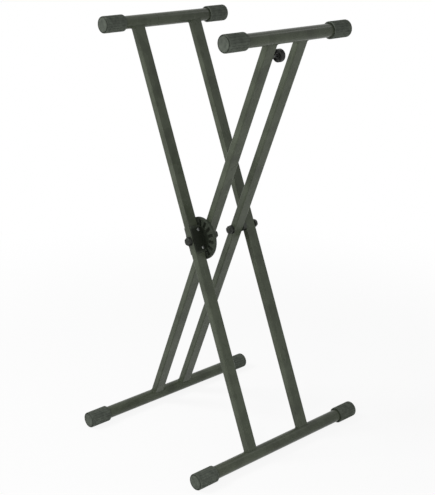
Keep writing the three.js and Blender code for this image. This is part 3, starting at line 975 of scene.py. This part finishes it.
lockPin = {
    "radius": 3.1 * mm,
    "noseRounding": 0.8 * mm,
    "collar": (5.2 * mm, 3 * mm),  # radius and length
    "tailRadius": 2.5 * mm,
    "gap": 0.3 * mm,
    "edge": 0.3 * mm,
    "lugWidth": 4 * mm,
    "steps": 48,
}
pinSpring = {"wire": 0.5 * mm, "wireSteps": 12, "coils": 6, "stepsPerCoil": 32}
releaseCable = {"radius": 0.75 * mm, "bend": 5 * mm, "bendSteps": 12, "guideEdge": 0.4 * mm}


def makeLockPin():
    p = lockPin
    low, high = localBox("lock_pin", "inner")
    height = localMiddle("lock_pin_bush", "inner").z
    collarRadius, collarLength = p["collar"]
    collarFrom = localBox("lock_pin_bush", "inner")[1].y + p["gap"]
    collarTo = collarFrom + collarLength
    edge, nose = p["edge"], p["noseRounding"]
    tail = p["tailRadius"]
    profile = [(0, low.y)] + quarter(p["radius"] - nose, low.y + nose, nose, -90) + [
        (p["radius"], collarFrom), (collarRadius - edge, collarFrom), (collarRadius, collarFrom + edge),
        (collarRadius, collarTo - edge), (collarRadius - edge, collarTo), (tail, collarTo),
        (tail, high.y - edge), (tail - edge, high.y), (0, high.y),
    ]
    lugHeight = high.z - height
    lugCentre = (0, (collarFrom + collarTo) / 2, lugHeight / 2)
    lug = soften(block((p["lugWidth"], collarLength, lugHeight), lugCentre), edge)
    pin = combine(turned(profile, p["steps"]), [lug], "UNION")
    move(pin, axes["inner"] @ shift(0, 0, height))
    addPiece(pin, "lock_pin_turned", "lock_pin", "bright_steel", ["lock_pin"])


def makeSpring():
    # a wire end is carried round the pin and along it at once
    s = pinSpring
    low, high = localBox("lock_pin_spring", "inner")
    middleRadius = (high.z - low.z) / 2 - s["wire"]
    steps = s["coils"] * s["stepsPerCoil"]
    bm = bmesh.new()
    bmesh.ops.create_circle(bm, cap_ends=True, radius=s["wire"], segments=s["wireSteps"])
    bmesh.ops.translate(bm, vec=(middleRadius, low.y + s["wire"], 0), verts=bm.verts)
    climb = (high.y - low.y - 2 * s["wire"]) / steps
    bmesh.ops.spin(
        bm, geom=bm.verts[:] + bm.edges[:] + bm.faces[:], axis=(0, 1, 0), cent=(0, 0, 0), dvec=(0, climb, 0),
        angle=2 * math.pi * s["coils"], steps=steps,
    )
    bmesh.ops.recalc_face_normals(bm, faces=bm.faces)
    place = axes["inner"] @ shift(0, 0, localMiddle("lock_pin_bush", "inner").z)
    addPiece(move(bm, place), "lock_pin_spring_wire", body["inner"], "bright_steel", ["lock_pin_spring"])


def makeCable():
    c = releaseCable
    guides = []
    for node in ("cable_guide_lower", "cable_guide_upper"):
        low, high = localBox(node, "inner")
        guides.append((low + high) / 2)
        pin = soften(rod((high.z - low.z) / 2, low.x, high.x), c["guideEdge"], 3)
        addPiece(move(pin, axes["inner"] @ shift(0, guides[-1].y, guides[-1].z) @ turnAcross),
                 node + "_turned", body["inner"], "bright_steel", [node])
    low, high = localBox("release_cable", "inner")
    lower, upper = guides
    points = [(0, low.y, lower.z - c["bend"])]
    turns = quarterTurn(c["bendSteps"])
    points += [(0, lower.y + c["bend"] * math.sin(a), lower.z - c["bend"] * math.cos(a)) for a in turns]
    points += [(0, upper.y - c["bend"] * math.cos(a), upper.z + c["bend"] * math.sin(a)) for a in turns]
    points += [(0, high.y, upper.z + c["bend"])]
    addPiece(move(sweep(points, c["radius"]), axes["inner"]), "release_cable_wire", body["inner"],
             "bright_steel", ["release_cable"])


makeLockPin()
makeSpring()
makeCable()
print("lock pin, spring and cable made")

studio = {
    "floorSize": 40,
    "floorColour": "#ffffff",
    "shadowNear": 0.11,  # share of the floor that is plain matt near the stand, so that a soft shadow shows
    "shadowFades": (0.6, 1.6),  # metres from the stand over which the floor turns to plain white
    "worldLight": 0.3,
}
plainWhite = (1, 1, 1, 1)
lamps = {
    "key_left": {"from": (-1.2, -1.5, 2.1), "size": 0.9, "power": 33, "colour": "#ffffff"},
    "front": {"from": (1.05, -1.7, 1.15), "size": 0.5, "power": 9, "colour": "#ffffff"},
    "low_right": {"from": (1.5, -0.5, 0.3), "size": 0.7, "power": 3, "colour": "#ffffff"},
    "back_top": {"from": (0.74, 2.04, 2.77), "size": 0.5, "power": 2.5, "colour": "#ffffff"},
}


def makeFloor():
    bm = bmesh.new()
    bmesh.ops.create_grid(bm, x_segments=1, y_segments=1, size=studio["floorSize"] / 2)
    floor = toObject(bm, "studio_floor")
    material = bpy.data.materials.new("studio_floor")
    tree = emptyTree(material)
    matt = addNode(tree, "ShaderNodeBsdfDiffuse", {"Color": linear(studio["floorColour"])})
    white = addNode(tree, "ShaderNodeEmission", {"Color": plainWhite, "Strength": 1})
    place = addNode(tree, "ShaderNodeTexCoord").outputs["Object"]
    away = addNode(tree, "ShaderNodeVectorMath", {"operation": "LENGTH"}, {0: place}).outputs["Value"]
    near, far = studio["shadowFades"]
    share = addNode(tree, "ShaderNodeMapRange", {
        "interpolation_type": "SMOOTHSTEP", "From Min": near, "From Max": far,
        "To Min": 1 - studio["shadowNear"], "To Max": 1,
    }, {"Value": away}).outputs["Result"]
    share = maths(tree, "MULTIPLY", share, seenRays(tree))
    mixed = addNode(tree, "ShaderNodeMixShader", links={
        0: share, 1: matt.outputs["BSDF"], 2: white.outputs["Emission"],
    })
    addNode(tree, "ShaderNodeOutputMaterial", links={"Surface": mixed.outputs["Shader"]})
    floor.data.materials.append(material)


def seenRays(tree):
    # 1 for what the camera sees, also in gloss and through glass, and 0 for light on the stand
    path = addNode(tree, "ShaderNodeLightPath")
    seen = path.outputs["Is Camera Ray"]
    for ray in ("Is Glossy Ray", "Is Transmission Ray"):
        seen = maths(tree, "MAXIMUM", seen, path.outputs[ray])
    return seen


def makeWorld():
    world = bpy.data.worlds.new("studio_world")
    bpy.context.scene.world = world
    tree = emptyTree(world)
    light = addNode(tree, "ShaderNodeBackground", {"Color": plainWhite, "Strength": studio["worldLight"]})
    white = addNode(tree, "ShaderNodeBackground", {"Color": plainWhite, "Strength": 1})
    mixed = addNode(tree, "ShaderNodeMixShader", links={
        0: seenRays(tree), 1: light.outputs["Background"], 2: white.outputs["Background"],
    })
    addNode(tree, "ShaderNodeOutputWorld", links={"Surface": mixed.outputs["Shader"]})


def makeLamp(name, lamp):
    data = bpy.data.lights.new(name, "AREA")
    data.shape = "DISK"
    data.size = lamp["size"]
    data.energy = lamp["power"]
    data.color = linear(lamp["colour"])[:3]
    thing = bpy.data.objects.new(name, data)
    bpy.context.scene.collection.objects.link(thing)
    thing.location = lamp["from"]
    aim = Vector(photoCamera["lookAt"]) - thing.location
    thing.rotation_euler = aim.to_track_quat("-Z", "Y").to_euler()


makeFloor()
makeWorld()
for name, lamp in lamps.items():
    makeLamp(name, lamp)
bpy.context.scene.view_settings.view_transform = "Standard"
print("studio set")
